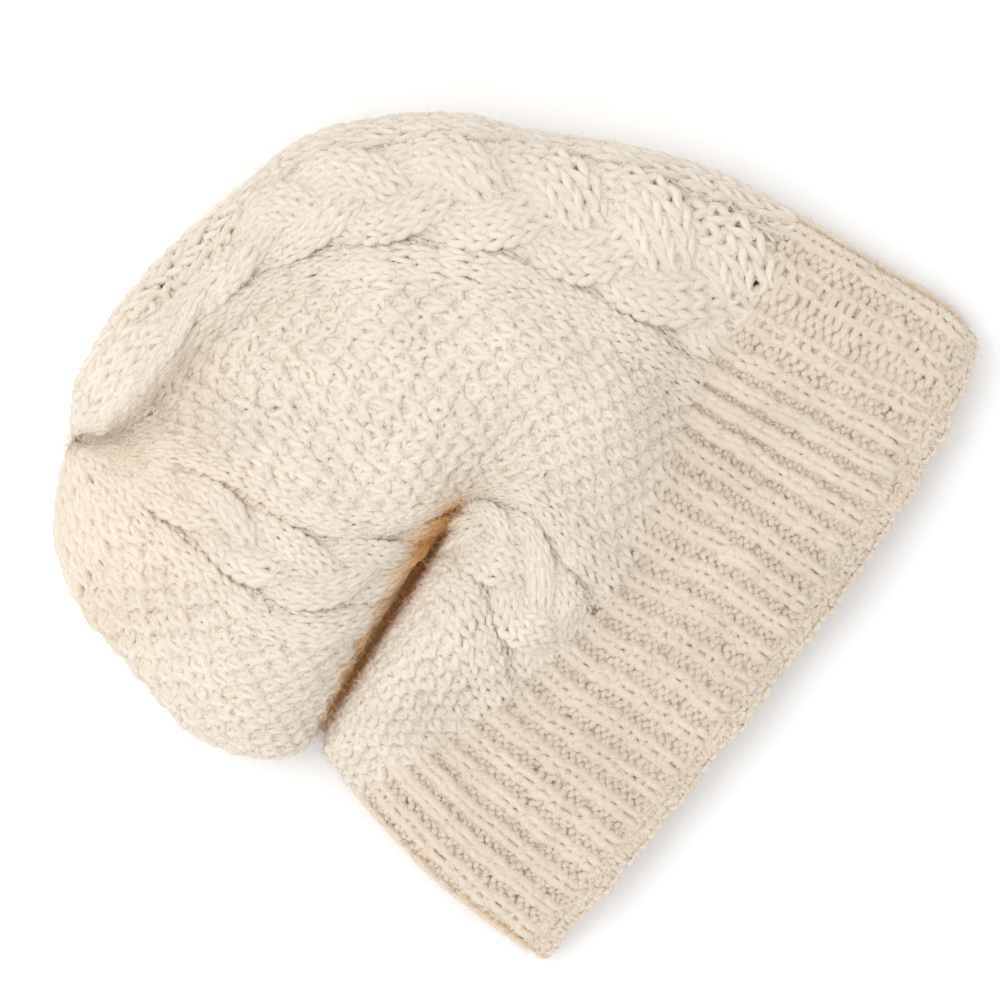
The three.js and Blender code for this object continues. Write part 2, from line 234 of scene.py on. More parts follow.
# %% Look up any stitch
def looked_up(grid, stitch, course):
    """Values of a grid between its points, at any stitch and course."""
    column = np.mod(stitch, STITCHES) / GRID_STEP
    row = np.clip((course - FIRST_COURSE) / GRID_STEP, 0, len(grid_courses) - 1.001)
    j = np.floor(column).astype(int) % len(grid_stitches)
    i = np.floor(row).astype(int)
    u = column - np.floor(column)
    v = row - i
    if grid.ndim == 3:
        u = u[..., None]
        v = v[..., None]
    beside = (j + 1) % len(grid_stitches)
    low = grid[i, j] * (1 - u) + grid[i, beside] * u
    high = grid[i + 1, j] * (1 - u) + grid[i + 1, beside] * u
    return low * (1 - v) + high * v


SAMPLE = np.array([21.0])
print("stitch 21 of course 42, in mm:", looked_up(outside_grid, SAMPLE, 2 * SAMPLE).round(1))

# %% [markdown]
# ## Uneven hands
# Hand knitting is never regular: rows wander, the cloth swells here and there, and the yarn is thick and
# thin. A noise on the finished mesh would bend the yarn's round section too. So slow waves with seeded
# phases move the rows before the yarn is laid, and a random number varies each loop.

# %% Slow waves
WAVES = 6


def slow_waves(stitch, course, seed, scale):
    """A smooth random field between about -1 and 1, the same on every run."""
    dice = np.random.default_rng(seed)
    total = np.zeros(np.broadcast(stitch, course).shape)
    for _ in range(WAVES):
        turns = dice.integers(1, 9)
        slope = dice.uniform(-1, 1) / scale
        phase = dice.uniform(0, 2 * math.pi)
        total = total + np.sin(2 * math.pi * (turns * stitch / STITCHES + slope * course) + phase)
    return total / (WAVES / 2)


field = slow_waves(grid_stitches, 40.0, 11, 60)
print("one field, lowest and highest:", field.min().round(2), field.max().round(2))

# %% Rows that wander and cloth that swells
WANDER_STITCHES = 0.35
WANDER_COURSES = 0.3
LAST_COURSE = CROWN - 0.3
SWELL = 0.5


def wandered(stitch, course):
    """Where a place ends up when the rows wander, never past the crown."""
    stitch = stitch + WANDER_STITCHES * slow_waves(stitch, course, 11, 60)
    course = course + WANDER_COURSES * slow_waves(stitch, course, 12, 50)
    return stitch, np.minimum(course, LAST_COURSE)


def swelling(stitch, course):
    """How far the cloth swells or sinks, in mm."""
    return SWELL * slow_waves(stitch, course, 13, 22)


print("stitch 21 of course 42 wanders to:", wandered(SAMPLE, 2 * SAMPLE))

# %% [markdown]
# ## The stitch plan
# Round the body, four plaits of nine stitches repeat every 31 stitches. On each side of a plait run one
# purl and three knit stitches, and moss stitch, knit and purl in turn like a chess board, fills the rest. A
# picture of stitches would look flat, so functions say what kind of loop is knitted and how high the cloth
# stands.

# %% Knit or purl
REPEAT = 31
FIRST_PLAIT = 8
PLAIT_HALF = 4.5
GUTTER_HALF = 5.5
BORDER_HALF = 8.5


def from_plait(stitch):
    """How many stitches a place is from the middle of the nearest plait."""
    return np.mod(stitch - FIRST_PLAIT + REPEAT / 2, REPEAT) - REPEAT / 2


def body_kind(stitch, row, column):
    """1 for a knit stitch and -1 for a purl stitch."""
    across = np.abs(from_plait(stitch))
    moss = np.where(np.mod(row + column, 2) == 0, 1.0, -1.0)
    purl_gutter = (across > PLAIT_HALF) & (across < GUTTER_HALF)
    border = (across > GUTTER_HALF) & (across < BORDER_HALF)
    return np.where(purl_gutter, -1.0, np.where(border, 1.0, moss))


print("kind of the stitch in a gutter:", body_kind(FIRST_PLAIT + GUTTER_HALF - 0.5, 0, 0))

# %% Plaits draw their stitches together
PULL_FROM = [-15.5, -8.5, -5.5, -4.5, 4.5, 5.5, 8.5, 15.5]
PULL_TO = [-15.5, -7.6, -4.4, -3.5, 3.5, 4.4, 7.6, 15.5]
PULL_COURSES = (BRIM_END, BRIM_END + 6)


def pulled_in(stitch, course):
    """The crossings draw the stitches of a plait together, more and more over the first courses."""
    across = from_plait(stitch)
    drawn = np.interp(across, PULL_FROM, PULL_TO) - across
    return stitch + drawn * ramp(course, *PULL_COURSES)


print("half a plait in stitches:", pulled_in(FIRST_PLAIT + PLAIT_HALF, CROWN) - FIRST_PLAIT)

# %% Relief of the body
BORDER_MIDDLE = 7
BORDER_REACH = 2.2
BORDER_RISE = 1.3
GUTTER_MIDDLE = 5
GUTTER_REACH = 0.9
GUTTER_DEPTH = 1.3
GUTTER_COURSES = (BRIM_END, BRIM_END + 4)
STRANDS_EDGE = 4.2
STRANDS_RISE = 0.5


def body_rise(stitch, course):
    """Height over the plain cloth in mm: borders and strands stand out, and gutters sink."""
    across = np.abs(from_plait(stitch))
    border = BORDER_RISE * np.sqrt(bump(across, BORDER_MIDDLE, BORDER_REACH))
    gutter = GUTTER_DEPTH * bump(across, GUTTER_MIDDLE, GUTTER_REACH) * ramp(course, *GUTTER_COURSES)
    return border - gutter + STRANDS_RISE * np.clip(STRANDS_EDGE - across, 0, 1)


print("border and gutter in mm:", body_rise(FIRST_PLAIT + np.array([7, 5]), CROWN).round(1))

# %% [markdown]
# ## Where the relief is pressed flat
# Underneath, the cap's weight presses the stitches flat, and in the deep fold the two walls press on each
# other. The relief is multiplied by a share that goes to nothing there, which also keeps the yarn out of
# the other wall.

# %% The share of the relief that stays
UNDERNEATH_TO_TOP = (-0.35, 0.25)
FOLD_COURSE = 46.5
FOLD_COURSES = (2, 7)
FOLD_STITCHES = (40, 66)


def relief_share(normal, stitch, course):
    """1 on open cloth and 0 where it is pressed flat."""
    x = ramp(normal[..., 2], *UNDERNEATH_TO_TOP)
    upwards = x * x * (3 - 2 * x)
    s = np.mod(stitch, STITCHES)
    in_fold = (s > FOLD_STITCHES[0]) & (s < FOLD_STITCHES[1])
    return upwards * np.where(in_fold, ramp(np.abs(course - FOLD_COURSE), *FOLD_COURSES), 1.0)


print("relief on top:", relief_share(np.array([0, 0, 1.0]), 21.0, 60.0))

# %% [markdown]
# ## Warm light in the creases
# In the deep fold light goes back and forth between two walls of cream wool and gets warmer each time, so
# the crease glows golden brown. Scattering through the wool would need many samples. Each point gets a
# number instead, how deep it is in the crease, and the material mixes a warm colour in with it.

# %% How deep in the crease
CREASE_COURSE = 46.8
BRIM_SIDE_REACH = 3.2
LOBE_SIDE_STITCHES = [42, 62]
LOBE_SIDE_REACH = [7.5, 4]
CREASE_STARTS = (30, 35)
CREASE_ENDS = (66, 54)
CREASE_HEIGHTS = (43, 31)
CREASE_GAIN = 1.35
# painted shade by the crown, where the cloth lies in shade
CROWN_SHADE = 0.08
CROWN_COURSES = (64, 76)
CROWN_STARTS = (10, 14)
CROWN_ENDS = (70, 60)


def crease_depth(stitch, course, height):
    """How much painted warm shade a place gets, from 0 to 1: most in the deep fold, a little by the crown.
    """
    s = np.mod(stitch, STITCHES)
    lobe_side = np.interp(s, LOBE_SIDE_STITCHES, LOBE_SIDE_REACH)
    near = bump(course, CREASE_COURSE, np.where(course > CREASE_COURSE, lobe_side, BRIM_SIDE_REACH))
    inside = ramp(s, *CREASE_STARTS) * ramp(s, *CREASE_ENDS) * ramp(height, *CREASE_HEIGHTS)
    shade_by_crown = ramp(course, *CROWN_COURSES) * ramp(s, *CROWN_STARTS) * ramp(s, *CROWN_ENDS)
    return np.minimum(CREASE_GAIN * np.sqrt(near) * inside + CROWN_SHADE * shade_by_crown, 1)


print("warmth in the fold:", crease_depth(45, CREASE_COURSE, 30))

# %% [markdown]
# ## Yarn
# A course is one yarn that rises and falls through the loops of the course below. In a knit stitch the two
# legs of the loop stand in front and make a V. In a purl stitch they lie behind, and the head of the loop
# makes a small bar. A known curve draws this with sines: across it swings by sin 2t, upwards it follows cos
# t, and in depth cos 2t, with the sign turned round for purl. Operators could model one stitch, but these
# thousands of loops differ in kind and size and lie on folded cloth. So numpy works out the centre lines,
# and rings round them become a mesh.

# %% A mesh from arrays
def add_mesh(name, vertices, faces):
    """A smooth mesh object at the origin, from vertices in mm and a list of face arrays."""
    mesh = bpy.data.meshes.new(name)
    loops = np.concatenate([f.ravel() for f in faces])
    sizes = np.concatenate([np.full(len(f), f.shape[1]) for f in faces])
    starts = np.concatenate([[0], np.cumsum(sizes)[:-1]])
    mesh.vertices.add(len(vertices))
    mesh.vertices.foreach_set("co", (vertices * MM).astype(np.float32).ravel())
    mesh.loops.add(len(loops))
    mesh.loops.foreach_set("vertex_index", loops.astype(np.int32))
    mesh.polygons.add(len(sizes))
    mesh.polygons.foreach_set("loop_start", starts.astype(np.int32))
    mesh.polygons.foreach_set("loop_total", sizes.astype(np.int32))
    mesh.polygons.foreach_set("use_smooth", np.full(len(sizes), True))
    mesh.update(calc_edges=True)
    mesh.validate()
    made = bpy.data.objects.new(name, mesh)
    bpy.context.scene.collection.objects.link(made)
    return made


def set_attribute(made, name, values):
    """One number for each vertex, which the material reads."""
    attribute = made.data.attributes.new(name, "FLOAT", "POINT")
    attribute.data.foreach_set("value", values.astype(np.float32))


def add_uv(made, name, u, v):
    """A UV map from one pair of values for each vertex."""
    corner = np.zeros(len(made.data.loops), np.int32)
    made.data.loops.foreach_get("vertex_index", corner)
    layer = made.data.uv_layers.new(name=name)
    layer.data.foreach_set("uv", np.stack([u[corner], v[corner]], axis=1).astype(np.float32).ravel())


print("helpers: add_mesh, set_attribute, add_uv")

# %% Rings round the centre lines
# pressed yarn stays this far above the table, and this round, in mm
TABLE_GAP = 0.15
TABLE_ROUND = 0.05


def tube_rings(points, normals, radius, sides):
    """Rings round rows of points (tubes, points, 3), and their outward directions."""
    tangent = unit(np.gradient(points, axis=1))
    across = unit(np.cross(tangent, normals))
    up = np.cross(across, tangent)
    angle = np.arange(sides) * 2 * math.pi / sides
    swing = across[:, :, None, :] * np.cos(angle)[None, None, :, None]
    rise = up[:, :, None, :] * np.sin(angle)[None, None, :, None]
    outward = swing + rise
    rings = points[:, :, None, :] + radius[:, :, None, None] * outward
    lowest = TABLE_GAP + TABLE_ROUND * (np.sin(angle) + 1)
    rings[..., 2] = np.maximum(rings[..., 2], lowest[None, None, :])
    return rings, outward


def tube_faces(count, length, sides):
    """Four-sided faces along each tube, and a face at each of its ends."""
    first = (np.arange(count) * length * sides)[:, None, None]
    low = first + (np.arange(length - 1) * sides)[None, :, None]
    high = low + sides
    j = np.arange(sides)[None, None, :]
    beside = (j + 1) % sides
    quads = np.stack([low + j, high + j, high + beside, low + beside], axis=-1)
    start = first[:, 0] + np.arange(sides)[None, :]
    finish = start + (length - 1) * sides
    return [quads.reshape(-1, 4), start, finish[:, ::-1]]


print("faces of a small tube:", [len(f) for f in tube_faces(1, 3, 4)])

# %% A tube along each course
# painted shade on the flanks of the yarn, which turn away from the cloth's outside
SIDE_SHADE = 0.5
SIDE_FACING = 0.4
UV_PER_MM = 0.1
# the skin of the yarn by piece, from which the loose fibres grow later
yarn_skin = {}


def tubes(name, points, normals, radius, sides, depth, crease):
    """Closed tubes along rows of points, with their attributes and UV map."""
    count, length = points.shape[:2]
    rings, outward = tube_rings(points, normals, radius, sides)
    made = add_mesh(name, rings.reshape(-1, 3), tube_faces(count, length, sides))
    facing = np.sum(outward * normals[:, :, None, :], axis=-1)
    # the depth attribute is painted shade, more on the yarn's flanks
    shade_round = np.clip(depth[:, :, None] + SIDE_SHADE * (SIDE_FACING - facing), 0, 1)
    set_attribute(made, "depth", shade_round.ravel())
    crease_round = np.repeat(crease[:, :, None], sides, axis=2).ravel()
    set_attribute(made, "crease", crease_round)
    step = np.linalg.norm(np.diff(points, axis=1), axis=2)
    run = np.concatenate([np.zeros((count, 1)), np.cumsum(step, axis=1)], axis=1)
    u = np.repeat(run[:, :, None], sides, axis=2).ravel() * UV_PER_MM
    add_uv(made, "yarn", u, np.tile(np.arange(sides) / sides, count * length))
    yarn_skin[name] = (rings.reshape(-1, 3), outward.reshape(-1, 3), crease_round)
    return made


print("metres of yarn for one repeat of the map:", MM / UV_PER_MM)

# %% Lay yarn on the cloth
YARN_RADIUS = 1.6
CENTRE_DROP = 1.65
PRESSED_WAVE = 0.4


def lay_yarn(name, stitch, course, stand, wave, radius, sides, depth):
    """Tubes under the outside face, raised by stand and moved in and out by wave, in mm."""
    normal = unit(looked_up(normal_grid, stitch, course))
    share = relief_share(normal, stitch, course)
    height = (stand + swelling(stitch, course)) * share - CENTRE_DROP
    height = height + wave * (PRESSED_WAVE + (1 - PRESSED_WAVE) * share)
    points = looked_up(outside_grid, stitch, course) + height[..., None] * normal
    crease = crease_depth(stitch, course, points[..., 2])
    return tubes(name, points, normal, radius, sides, depth, crease)


print("yarn in mm across:", 2 * YARN_RADIUS)

# %% [markdown]
# ## Courses of stitches
# Each course is knitted with the same needles, so its loops are alike but never equal. A course is drawn as
# one long curve with a loop for each stitch. The style of a piece says how far its loops swing and wave,
# and the stitch plan says which are knit and which purl.

# %% Numbers per stitch, blended along the yarn
PLAIN_SHARE = 0.7


def spread(values, t):
    """Numbers of the stitches, blended from the middle of one to the next."""
    columns = values.shape[1]
    spots = np.clip(t - 0.5, 0, columns - 1.001)
    left = np.floor(spots).astype(int)
    share = spots - left
    return values[:, left] * (1 - share) + values[:, np.minimum(left + 1, columns - 1)] * share


def blended_kind(kinds, t, cell):
    """The kinds along the yarn, blended where two stitches meet."""
    soft = ramp(np.abs((t - cell) - 0.5) * 2, PLAIN_SHARE, 1)
    before = np.maximum(cell - 1, 0)
    after = np.minimum(cell + 1, kinds.shape[1] - 1)
    other = np.where((t - cell) < 0.5, before, after)
    return kinds[:, cell] * (1 - soft / 2) + kinds[:, other] * soft / 2


print("half way between 0 and 1:", spread(np.array([[0.0, 1.0]]), 1.0))

# %% Courses from a stitch plan
# how much a loop varies in height, sideways, in its place along the wale, and in thickness
SPREADS = (0.12, 0.12, 0.14, 0.1)
THICK_NOISE = 0.025
ROOM_SHARE = 0.36
FULL_WAVE_ROOM = 3.5
# how the painted shade (the depth attribute) grows behind the front of a loop and on sunken stitches
FRONT_WAVE = 0.1
LOOP_SHADE = 0.35
SUNK_SHADE = 0.45


def lay_courses(name, courses, edges, kind, rise, style, steps, sides, seed):
    """One tube per course. edges are the sides of its stitches, and kind and rise describe them."""
    dice = np.random.default_rng(seed)
    columns = len(edges) - 1
    t = np.arange(columns * steps + 1) / steps
    cell = np.minimum(np.floor(t).astype(int), columns - 1)
    phase = 2 * math.pi * (t - cell)
    course = np.array(courses, float)[:, None]
    rough = dice.normal(0, 1, (len(courses), columns, 4)) * style["uneven"]
    tall, aside, lift, thick = [scale * spread(rough[:, :, i], t) for i, scale in enumerate(SPREADS)]
    centres = (edges[:-1] + edges[1:]) / 2
    kinds = kind(centres[None, :], np.arange(len(courses))[:, None], np.arange(columns)[None, :])
    sign = blended_kind(kinds, t, cell)
    plain = np.interp(t, np.arange(columns + 1), edges)
    width = np.diff(edges)[cell]
    stitch = pulled_in(plain + width * style["swing"] * np.sin(2 * phase) + aside, course)
    loop = (1 - style["rung"] * (1 - sign) / 2) * (1 - np.cos(phase)) * (1 + tall) - 1
    stitch, at = wandered(stitch, course + 0.5 * style["loop_height"] * loop + lift)
    room = looked_up(width_grid, stitch, at) * width
    uneven = 1 + thick + THICK_NOISE * dice.normal(0, 1, stitch.shape)
    radius = np.minimum(YARN_RADIUS * style["thick"], ROOM_SHARE * room) * uneven
    wave = -sign * np.cos(2 * phase) * np.minimum(room / FULL_WAVE_ROOM, 1)
    stand = rise(plain, at)
    # painted shade: behind the front of each loop and on sunken stitches
    depth = np.clip((FRONT_WAVE - wave) * LOOP_SHADE, 0, 1) + np.clip(-stand, 0, 1) * SUNK_SHADE
    return lay_yarn(name, stitch, at, stand, style["depth"] * wave, radius, sides, depth)


print("most of a stitch's width that yarn fills:", 2 * ROOM_SHARE)

# %% Courses of the body between the plaits
ROW = 1.25
LOOP_HEIGHT = 1.75
BODY_STYLE = {"swing": 0.29, "depth": 0.7, "loop_height": LOOP_HEIGHT * ROW, "thick": 1.0, "rung": 0,
              "uneven": 1.2}
TOP_STEPS = 12
TOP_SIDES = 5
FIRST_ROW = BRIM_END + 0.6
LOW_END = 65.5
HIGH_END = 78.5
low_courses = np.arange(FIRST_ROW, LOW_END, ROW)
high_courses = np.arange(low_courses[-1] + ROW, HIGH_END, ROW)
body_courses = np.concatenate([low_courses, high_courses])
print("rows, low and high:", len(low_courses), len(high_courses))


# %% Panels of moss stitch and their borders
def panel_edges(plait, first, last, border_stitches, moss_stitches):
    """Sides of the stitches from one plait to the next: purl, knit border, moss, knit border, purl."""
    moss = np.linspace(BORDER_HALF, REPEAT - BORDER_HALF, moss_stitches + 1)[1:-1]
    near = np.linspace(PLAIT_HALF, BORDER_HALF, border_stitches + 1)
    edges = plait + np.concatenate([near, moss, (REPEAT - near)[::-1]])
    return edges[(edges >= first) & (edges <= last)]


panels = {"long_side_panel": (FIRST_PLAIT - REPEAT, -7.7, 3.6),
          "moss_panel": (FIRST_PLAIT, 12.4, 34.6),
          "fold_panel": (FIRST_PLAIT + REPEAT, 43.4, 68.6)}
# the cap narrows towards the crown, so a panel has fewer stitches there
heights = (("low", low_courses, 4, 13), ("high", high_courses, 3, 8))
body_pieces = []
for number, (name, (plait, first, last)) in enumerate(panels.items()):
    for part, courses, border_stitches, moss_stitches in heights:
        edges = panel_edges(plait, first, last, border_stitches, moss_stitches)
        made = lay_courses(f"{name}_{part}", courses, edges, body_kind, body_rise, BODY_STYLE,
                           TOP_STEPS, TOP_SIDES, seed=20 + number)
        body_pieces.append(made)
        print(made.name, "stitches:", len(edges) - 1, "triangles:", 2 * len(made.data.polygons))

# %% [markdown]
# ## Plain knitting
# Under the strands of a plait lies plain knitting, which shows where the strands part. Underneath the cap
# the pattern goes on, pressed flat, and at the crown every stitch is knit. These are the same loops, but
# with fewer points and sides where little is seen, which saves triangles.

# %% Behind the strands of the two plaits that show
UNDER_STEPS = 6
UNDER_SIDES = 3
BACK_RISE = 0.2
BACK_EDGES = np.arange(-5.5, 5.6, 1.1)
PLAIT_MIDDLES = (8, 39)


def all_knit(stitch, row, column):
    return 1.0 + 0 * (row + column)


def level_at(height):
    """A relief of the same height all over."""
    return lambda stitch, course: height + 0 * stitch


for number, middle in enumerate(PLAIT_MIDDLES):
    made = lay_courses(f"plait_back_{number + 1}", body_courses, middle + BACK_EDGES, all_knit,
                       level_at(BACK_RISE), BODY_STYLE, UNDER_STEPS, UNDER_SIDES, seed=24 + number)
    body_pieces.append(made)
    print(made.name, "triangles:", 2 * len(made.data.polygons))

# %% Underneath
UNDER_EDGES = np.arange(66.5, 119.6)
underside = lay_courses("underside", body_courses, UNDER_EDGES, body_kind, body_rise, BODY_STYLE,
                        UNDER_STEPS, UNDER_SIDES, seed=30)
body_pieces.append(underside)
print(underside.name, "triangles:", 2 * len(underside.data.polygons))

# %% The gathered crown
# a stretch, its courses and how many stitches of the body one of its stitches takes up
CROWN_PARTS = (("crown_start", np.arange(79.0, 83.8, 1.15), 2.3),
               ("crown_gathers", np.arange(84.8, 88, 0.95), 4.6))
for number, (name, courses, wide) in enumerate(CROWN_PARTS):
    edges = np.linspace(0, STITCHES, int(STITCHES / wide) + 1)
    made = lay_courses(name, courses, edges, all_knit, level_at(0), BODY_STYLE,
                       TOP_STEPS, TOP_SIDES, seed=40 + number)
    body_pieces.append(made)
    print(name, "stitches:", len(edges) - 1, "triangles:", 2 * len(made.data.polygons))

# %% [markdown]
# ## The plaits
# A plait is knitted in three groups of three stitches. Every few rows a group is crossed in front of its
# neighbour, so each wanders from side to side. Three twisted ropes would be simpler, but they would hide
# that the strands are knitted. Each is laid as a narrow strip of knit stitches that leans with its path and
# is domed.

# %% The loops of one strand
PLAIT_COURSES = 24
PLAIT_SWING = 2.45
PLAIT_DEPTH = 1.25
PLAIT_BASE = 1.1
STRAND_DOME = 1.1
STRAND_LOOP_SWING = 0.3
STRAND_LOOP_DEPTH = 0.5
STRAND_TALL_SPREAD = 0.1


def strand_loops(middle, courses, strand, t, stitches, wide_share, dice):
    """Stitch, course, rise and wave of a strand's points."""
    turn = 2 * math.pi * (courses / PLAIT_COURSES + strand / 3)
    centre = middle + PLAIT_SWING * np.sin(turn)
    lean = PLAIT_SWING * np.cos(turn) * 2 * math.pi / PLAIT_COURSES
    wide = looked_up(width_grid, centre, courses)[:, None]
    tall = looked_up(tall_grid, centre, courses)[:, None]
    angle = np.arctan2(lean[:, None] * wide, tall)
    phase = 2 * math.pi * t
    offset = (t - stitches / 2 + STRAND_LOOP_SWING * np.sin(2 * phase)) * wide * wide_share
    uneven = 1 + STRAND_TALL_SPREAD * dice.normal(0, 1, (len(courses), 2))[:, :1]
    along = -0.5 * LOOP_HEIGHT * ROW * np.cos(phase) * tall / np.cos(angle) * uneven
    sideways = offset * np.cos(angle) + along * np.sin(angle)
    upwards = along * np.cos(angle) - offset * np.sin(angle)
    stitch, at = wandered(centre[:, None] + sideways / wide, courses[:, None] + upwards / tall)
    dome = STRAND_DOME * (1 - (2 * t / stitches - 1) ** 2)
    rise = PLAIT_BASE + PLAIT_DEPTH * np.sin(2 * turn)[:, None] + dome
    wave = np.broadcast_to(-np.cos(2 * phase), stitch.shape)
    return stitch, at, rise, wave


print("two strands cross every", round(PLAIT_COURSES / 6 / ROW, 1), "rows")

# %% Three strands that cross
STRAND_WIDE = 1.1
STRAND_YARN = 1.9
STRAND_ROOM_SHARE = 0.38
STRAND_NOISE = 0.03
PLAIT_STARTS = (BRIM_END, BRIM_END + 3)
PLAIT_ENDS = (81, 72)
LEAST_RISE = 0.15
# painted shade behind the front of a strand's loops and on the lower strands
STRAND_LOOP_SHADE = 0.3
HIGH_STRAND = 1.2
LOW_STRAND_SHADE = 0.18


def lay_plait(name, middle, courses, stitches, seed):
    """The three strands of a plait over some courses."""
    dice = np.random.default_rng(seed)
    t = np.arange(stitches * TOP_STEPS + 1) / TOP_STEPS
    wide_share = STRAND_WIDE * 3 / stitches
    strands = [strand_loops(middle, courses, i, t, stitches, wide_share, dice) for i in range(3)]
    stitch, at, rise, wave = [np.concatenate(part) for part in zip(*strands)]
    room = looked_up(width_grid, stitch, at) * wide_share
    radius = np.minimum(STRAND_YARN, STRAND_ROOM_SHARE * room)
    radius = radius * (1 + STRAND_NOISE * dice.normal(0, 1, stitch.shape))
    share = ramp(at, *PLAIT_STARTS) * np.maximum(ramp(at, *PLAIT_ENDS), LEAST_RISE)
    # painted shade, more on loop backs and on strands that lie low
    depth = np.clip((FRONT_WAVE - wave) * STRAND_LOOP_SHADE + (HIGH_STRAND - rise) * LOW_STRAND_SHADE, 0, 1)
    return lay_yarn(name, stitch, at, rise * share, STRAND_LOOP_DEPTH * wave, radius, TOP_SIDES, depth)


for name, middle in zip(("plait_long_side", "plait_lobe"), PLAIT_MIDDLES):
    body_pieces.append(lay_plait(f"{name}_low", middle, low_courses, 3, seed=middle))
    body_pieces.append(lay_plait(f"{name}_high", middle, high_courses, 2, seed=middle + 1))
    print(name, "triangles:", [2 * len(piece.data.polygons) for piece in body_pieces[-2:]])

# %% [markdown]
# ## The ribbed brim
# The brim is knitted one and one: a knit wale, which bulges, then a purl wale, which sinks so far between
# its neighbours that only its rungs show. A grooved band would be quicker, but the rungs say that it is
# knitted.

# %% Stitches and relief of the ribs
RIBS = 48
KNIT_SHARE = 0.66
RIB_STYLE = {"swing": 0.13, "depth": 0.35, "loop_height": 1.9, "thick": 1.06, "rung": 0.75, "uneven": 1.0}
RIB_BASE = 0.1
RIB_RISE = 0.55
RIB_FADE = (BRIM_END + 1, BRIM_END - 2)
RIB_END = 0.3
rib_pitch = STITCHES / RIBS
rib_middles = np.arange(RIBS + 1) * rib_pitch
knit_half = KNIT_SHARE * rib_pitch / 2
rib_edges = np.sort(np.concatenate([rib_middles - knit_half, rib_middles[:-1] + knit_half]))


def rib_kind(stitch, row, column):
    """1 in a knit wale and -1 in a purl wale."""
    share = np.mod(stitch / rib_pitch + 0.5, 1) - 0.5
    return np.where(np.abs(share) < KNIT_SHARE / 2, 1.0, -1.0) + 0 * row


def rib_rise(stitch, course):
    """Height of the ribs in mm. It fades out where the body starts."""
    fade = RIB_END + (1 - RIB_END) * ramp(course, *RIB_FADE)
    return (RIB_BASE + RIB_RISE * np.cos(2 * math.pi * stitch / rib_pitch)) * fade


print("rib pitch in stitches:", round(rib_pitch, 2))

# %% Ribs in front and underneath
RIB_FIRST_ROW = 2.9
FRONT_STITCHES = (-5, 67)
BACK_STITCHES = (66 - rib_pitch, STITCHES - 4)
rib_courses = np.arange(RIB_FIRST_ROW, BRIM_END, 1.0)
front_edges = rib_edges[(rib_edges > FRONT_STITCHES[0]) & (rib_edges < FRONT_STITCHES[1])]
back_edges = rib_edges[(rib_edges > BACK_STITCHES[0]) & (rib_edges < BACK_STITCHES[1])]
rib_front = lay_courses("rib_front", rib_courses, front_edges, rib_kind, rib_rise, RIB_STYLE,
                        TOP_STEPS, TOP_SIDES, seed=50)
rib_underneath = lay_courses("rib_underneath", rib_courses, back_edges, rib_kind, rib_rise, RIB_STYLE,
                             UNDER_STEPS, UNDER_SIDES, seed=51)
rib_pieces = [rib_front, rib_underneath]
print("rib pieces:", [(piece.name, 2 * len(piece.data.polygons)) for piece in rib_pieces])

# %% [markdown]
# ## The cast-on edge
# Knitting starts with a row of loops thrown on the needle. They and the first rows make a narrow band of
# small, uneven loops along the hem. A single cord would look sewn on, so five close courses of thin yarn
# take turns between purl and knit.

# %% A band of small loops along the hem
HEM_STYLE = {"swing": 0.22, "depth": 0.35, "loop_height": 0.8, "thick": 0.68, "rung": 0, "uneven": 1.7}
HEM_STITCHES = 130
HEM_STEPS = 8
HEM_COURSES = np.array([0.4, 0.85, 1.3, 1.75, 2.2])
hem_edges = np.linspace(0, STITCHES, HEM_STITCHES + 1)


def hem_kind(stitch, row, column):
    return np.where(np.mod(row, 2) == 0, -1.0, 1.0) + 0 * column


rib_pieces.append(lay_courses("cast_on_loops", HEM_COURSES, hem_edges, hem_kind, level_at(0), HEM_STYLE,
                              HEM_STEPS, TOP_SIDES, seed=52))
print("cast-on triangles:", 2 * len(rib_pieces[-1].data.polygons))

# %% [markdown]
# ## Walls under the yarn
# Between the loops of yarn lie the loops of the back, felted together. A wall a little under the outside
# face stands for them: it closes the gaps and carries the inside of the cap, which real loops would do with
# twice the triangles. It is a net of rings, outside and inside, joined at both ends. It follows the relief
# a little and dips at random places, as the small holes between stitches do. Its colour is painted shade:
# darker than the yarn's tops, darkest in the holes, and a little darker on the inside of the cap.

# %% The faces of a wall
def ring_faces(rows, columns, first=0):
    """Four-sided faces between rings of points that close round."""
    i = np.arange(rows - 1)[:, None] * columns
    j = np.arange(columns)[None, :]
    beside = (j + 1) % columns
    quads = np.stack([i + j, i + columns + j, i + columns + beside, i + beside], axis=-1)
    return quads.reshape(-1, 4) + first


def wall_faces(rows, columns, closed_tip):
    """An outer and an inner net of rings. At a closed tip each ends in one face."""
    count = rows * columns
    j = np.arange(columns)
    beside = (j + 1) % columns
    mouth = np.stack([j + count, j, beside, beside + count], axis=1)
    faces = [ring_faces(rows, columns), ring_faces(rows, columns, count)[:, ::-1], mouth]
    top = (rows - 1) * columns
    if closed_tip:
        tips = [(top + j)[None, ::-1], (top + j + count)[None, :]]
    else:
        tips = [np.stack([top + j, top + j + count, top + beside + count, top + beside], axis=1)]
    return faces + tips


print("faces of a small wall:", [len(f) for f in wall_faces(3, 8, True)])

# %% A wall between two courses
BRIM_WALL_START = 0.3
BRIM_DROP = 1.25
BODY_DROP = 1.2
WALL_STITCH = 0.5
WALL_COURSE = 1.0
HOLE_SHARE = 0.16
HOLE_DEPTH = 0.9
HOLE_FREE = 1.5
FELTED_RISE = (-0.6, 0.4)
WALL_LOWEST = 0.6
# painted shade on the wall and on the inside of the cap; the holes get the full shade
WALL_SHADE = 0.3
INSIDE_SHADE = 0.35


